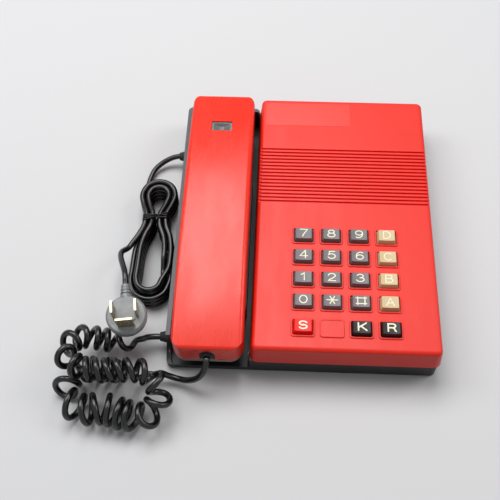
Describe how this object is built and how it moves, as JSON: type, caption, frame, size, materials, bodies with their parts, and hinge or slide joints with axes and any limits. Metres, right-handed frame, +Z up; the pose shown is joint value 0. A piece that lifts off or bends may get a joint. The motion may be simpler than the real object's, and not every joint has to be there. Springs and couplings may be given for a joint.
{
  "type": "push-button wall telephone",
  "caption": "Slimline wall telephone with a bar handset beside a ribbed keypad cover, curly handset cord, bundled line cord and bladed plug.",
  "frame": {"origin": "middle of the underside of the set without its cords, on the surface it lies on", "axes": "+X to the right of the keypad, +Y from the mouth end to the ear end, +Z up out of the keypad"},
  "size_m": [0.2544, 0.2608, 0.0495],
  "materials": {
    "tray_plastic": "moulded dark grey, fine grain",
    "cover_plastic": "moulded red, satin",
    "handset_plastic": "moulded red, satin",
    "handset_low_plastic": "moulded dark grey",
    "foot_rubber": "soft black",
    "screw_steel": "zinc plated",
    "board_green": "solder-masked laminate",
    "board_tan": "paper laminate",
    "transformer_core": "varnished",
    "chip_black": "moulded black",
    "keypad_silicone": "soft grey",
    "ribbon_pvc": "flat grey",
    "sounder_black": "moulded black",
    "switch_black": "moulded black",
    "plunger_white": "moulded off-white",
    "card_paper": "card",
    "window_clear": "clear sheet",
    "grommet_rubber": "soft black",
    "capsule_shell": "dark",
    "weight_steel": "plain",
    "lamp_clear": "clear moulded, faceted",
    "key_grey": "moulded dark grey",
    "key_beige": "moulded beige",
    "key_red": "moulded red",
    "key_black": "moulded black",
    "cord_pvc": "glossy black sheath",
    "tie_wire": "black sheathed wire",
    "plug_translucent": "smoky grey translucent moulding",
    "blade_brass": "nickelled brass"
  },
  "bodies": {
    "base": {"base_tray": "tray_plastic", "top_cover": "cover_plastic", "rubber_feet": "foot_rubber", "case_screws": "screw_steel", "main_board": "board_green", "line_transformer": "transformer_core", "board_parts": "chip_black", "keypad_board": "board_tan", "keypad_mat": "keypad_silicone", "ribbon_cable": "ribbon_pvc", "ringer_sounder": "sounder_black", "hook_switch_body": "switch_black", "number_card": "card_paper", "card_window": "window_clear", "curly_grommet": "grommet_rubber", "line_grommet": "grommet_rubber", "curly_lead_handset": "cord_pvc", "curly_coil": "cord_pvc", "curly_lead_base": "cord_pvc", "line_lead_base": "cord_pvc", "line_hank": "cord_pvc", "line_lead_plug": "cord_pvc", "hank_tie": "tie_wire", "plug_body": "plug_translucent", "plug_blades": "blade_brass"},
    "handset": {"handset_top_shell": "handset_plastic", "handset_low_shell": "handset_low_plastic", "earpiece_capsule": "capsule_shell", "microphone_capsule": "capsule_shell", "handset_weight": "weight_steel", "handset_board": "board_green", "lamp_lens": "lamp_clear", "handset_screws": "screw_steel", "handset_sleeve": "grommet_rubber"},
    "hook": {"hook_plunger": "plunger_white"},
    "key_7_body": {"key_7": "key_grey"},
    "key_8_body": {"key_8": "key_grey"},
    "key_9_body": {"key_9": "key_grey"},
    "key_d_body": {"key_d": "key_beige"},
    "key_4_body": {"key_4": "key_grey"},
    "key_5_body": {"key_5": "key_grey"},
    "key_6_body": {"key_6": "key_grey"},
    "key_c_body": {"key_c": "key_beige"},
    "key_1_body": {"key_1": "key_grey"},
    "key_2_body": {"key_2": "key_grey"},
    "key_3_body": {"key_3": "key_grey"},
    "key_b_body": {"key_b": "key_beige"},
    "key_0_body": {"key_0": "key_grey"},
    "key_star_body": {"key_star": "key_grey"},
    "key_hash_body": {"key_hash": "key_grey"},
    "key_a_body": {"key_a": "key_beige"},
    "key_s_body": {"key_s": "key_red"},
    "key_k_body": {"key_k": "key_black"},
    "key_r_body": {"key_r": "key_black"}
  },
  "joints": [
    {"name": "handset_lift", "type": "slide", "parent": "base", "child": "handset", "axis": [0, 0, 1], "range_m": [0, 0.06]},
    {"name": "hook_rise", "type": "slide", "parent": "base", "child": "hook", "axis": [0, 0, 1], "range_m": [0, 0.004]},
    {"name": "press_7", "type": "slide", "parent": "base", "child": "key_7_body", "axis": [0, 0, -1], "range_m": [0, 0.002], "stiffness_N_per_m": 300},
    {"name": "press_8", "type": "slide", "parent": "base", "child": "key_8_body", "axis": [0, 0, -1], "range_m": [0, 0.002], "stiffness_N_per_m": 300},
    {"name": "press_9", "type": "slide", "parent": "base", "child": "key_9_body", "axis": [0, 0, -1], "range_m": [0, 0.002], "stiffness_N_per_m": 300},
    {"name": "press_d", "type": "slide", "parent": "base", "child": "key_d_body", "axis": [0, 0, -1], "range_m": [0, 0.002], "stiffness_N_per_m": 300},
    {"name": "press_4", "type": "slide", "parent": "base", "child": "key_4_body", "axis": [0, 0, -1], "range_m": [0, 0.002], "stiffness_N_per_m": 300},
    {"name": "press_5", "type": "slide", "parent": "base", "child": "key_5_body", "axis": [0, 0, -1], "range_m": [0, 0.002], "stiffness_N_per_m": 300},
    {"name": "press_6", "type": "slide", "parent": "base", "child": "key_6_body", "axis": [0, 0, -1], "range_m": [0, 0.002], "stiffness_N_per_m": 300},
    {"name": "press_c", "type": "slide", "parent": "base", "child": "key_c_body", "axis": [0, 0, -1], "range_m": [0, 0.002], "stiffness_N_per_m": 300},
    {"name": "press_1", "type": "slide", "parent": "base", "child": "key_1_body", "axis": [0, 0, -1], "range_m": [0, 0.002], "stiffness_N_per_m": 300},
    {"name": "press_2", "type": "slide", "parent": "base", "child": "key_2_body", "axis": [0, 0, -1], "range_m": [0, 0.002], "stiffness_N_per_m": 300},
    {"name": "press_3", "type": "slide", "parent": "base", "child": "key_3_body", "axis": [0, 0, -1], "range_m": [0, 0.002], "stiffness_N_per_m": 300},
    {"name": "press_b", "type": "slide", "parent": "base", "child": "key_b_body", "axis": [0, 0, -1], "range_m": [0, 0.002], "stiffness_N_per_m": 300},
    {"name": "press_0", "type": "slide", "parent": "base", "child": "key_0_body", "axis": [0, 0, -1], "range_m": [0, 0.002], "stiffness_N_per_m": 300},
    {"name": "press_star", "type": "slide", "parent": "base", "child": "key_star_body", "axis": [0, 0, -1], "range_m": [0, 0.002], "stiffness_N_per_m": 300},
    {"name": "press_hash", "type": "slide", "parent": "base", "child": "key_hash_body", "axis": [0, 0, -1], "range_m": [0, 0.002], "stiffness_N_per_m": 300},
    {"name": "press_a", "type": "slide", "parent": "base", "child": "key_a_body", "axis": [0, 0, -1], "range_m": [0, 0.002], "stiffness_N_per_m": 300},
    {"name": "press_s", "type": "slide", "parent": "base", "child": "key_s_body", "axis": [0, 0, -1], "range_m": [0, 0.002], "stiffness_N_per_m": 300},
    {"name": "press_k", "type": "slide", "parent": "base", "child": "key_k_body", "axis": [0, 0, -1], "range_m": [0, 0.002], "stiffness_N_per_m": 300},
    {"name": "press_r", "type": "slide", "parent": "base", "child": "key_r_body", "axis": [0, 0, -1], "range_m": [0, 0.002], "stiffness_N_per_m": 300}
  ],
  "couplings": [
    {"joint": "hook_rise", "follows": "handset_lift", "ratio": 0.0666}
  ]
}
